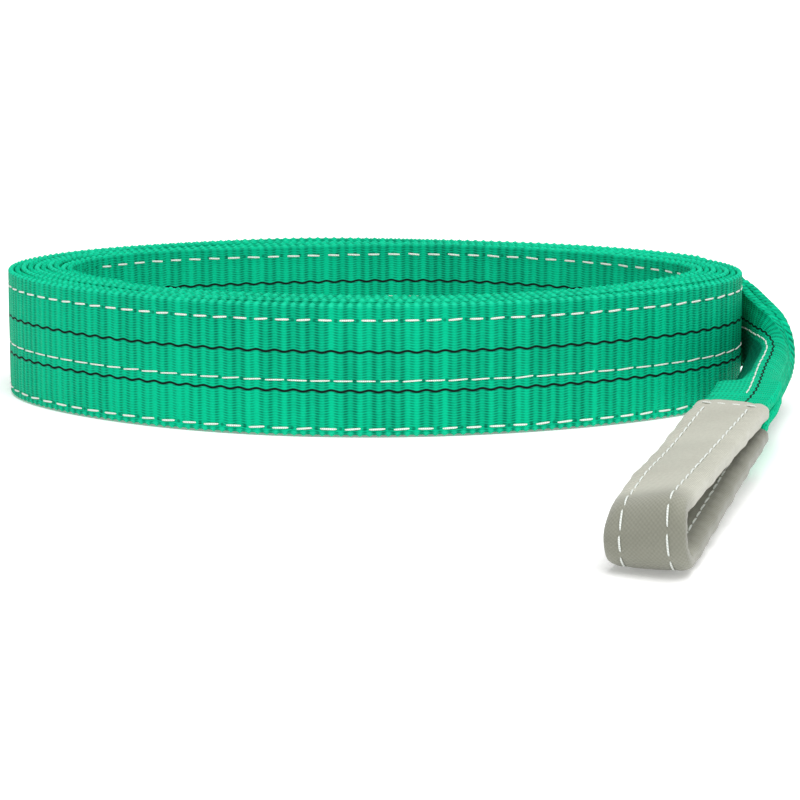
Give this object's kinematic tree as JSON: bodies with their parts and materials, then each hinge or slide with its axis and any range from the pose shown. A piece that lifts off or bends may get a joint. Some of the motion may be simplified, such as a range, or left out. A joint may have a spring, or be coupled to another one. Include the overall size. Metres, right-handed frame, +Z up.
{
  "type": "flat web sling",
  "caption": "Coiled two-ply flat web lifting sling, 60 mm wide, with a sleeved soft eye at each end and three sewn seams.",
  "frame": {"origin": "centre of the outline's box, on the floor the coil stands on", "axes": "+Z up from the floor along the width of the webbing on edge, +Y from the outer eye towards the back of the coil, +X to the side the tail comes off"},
  "size_m": [0.3742, 0.4948, 0.06],
  "materials": {
    "webbing": "woven polyester webbing, satin",
    "sleeve": "coarse woven polyamide, matte",
    "thread": "twisted polyester thread, satin",
    "label": "plain coated label, blank"
  },
  "bodies": {
    "coil": {"coil_inner_seam_bottom": "thread", "coil_inner_seam_middle": "thread", "coil_inner_seam_top": "thread", "coil_outer_seam_bottom": "thread", "coil_outer_seam_middle": "thread", "coil_outer_seam_top": "thread", "inner_ply_coil": "webbing", "inner_ply_neck": "webbing", "outer_ply_coil": "webbing", "outer_ply_neck": "webbing"},
    "tail": {"inner_ply_tail": "webbing", "outer_ply_tail": "webbing", "tail_inner_seam_bottom": "thread", "tail_inner_seam_middle": "thread", "tail_inner_seam_top": "thread", "tail_outer_seam_bottom": "thread", "tail_outer_seam_middle": "thread", "tail_outer_seam_top": "thread"},
    "outer_eye": {"outer_eye_sleeve": "sleeve", "outer_eye_web": "webbing", "outer_sleeve_end_row_lower": "thread", "outer_sleeve_end_row_upper": "thread", "outer_sleeve_row_inside_left": "thread", "outer_sleeve_row_inside_right": "thread", "outer_sleeve_row_outside_left": "thread", "outer_sleeve_row_outside_right": "thread"},
    "inner_eye": {"inner_eye_sleeve": "sleeve", "inner_eye_web": "webbing", "inner_sleeve_end_row_lower": "thread", "inner_sleeve_end_row_upper": "thread", "inner_sleeve_row_inside_left": "thread", "inner_sleeve_row_inside_right": "thread", "inner_sleeve_row_outside_left": "thread", "inner_sleeve_row_outside_right": "thread"},
    "label": {"label": "label", "label_seam": "thread"}
  },
  "joints": [
    {"name": "tail_swing", "type": "hinge", "parent": "coil", "child": "tail", "pos_m": [0.14969, 0.17986, 0.03], "axis": [0, 0, 1], "range_deg": [0, 20]},
    {"name": "outer_eye_lift", "type": "hinge", "parent": "tail", "child": "outer_eye", "pos_m": [0.14232, -0.04803, 0.03265], "axis": [-0.9613, 0.2756, 0], "range_deg": [0, 60]},
    {"name": "inner_eye_swing", "type": "hinge", "parent": "coil", "child": "inner_eye", "pos_m": [-0.07968, 0.07125, 0.0159], "axis": [0, 0, 1], "range_deg": [0, 30]},
    {"name": "label_flap", "type": "hinge", "parent": "coil", "child": "label", "pos_m": [-0.13667, 0.10669, 0.02], "axis": [0, 0, -1], "range_deg": [0, 60]}
  ]
}
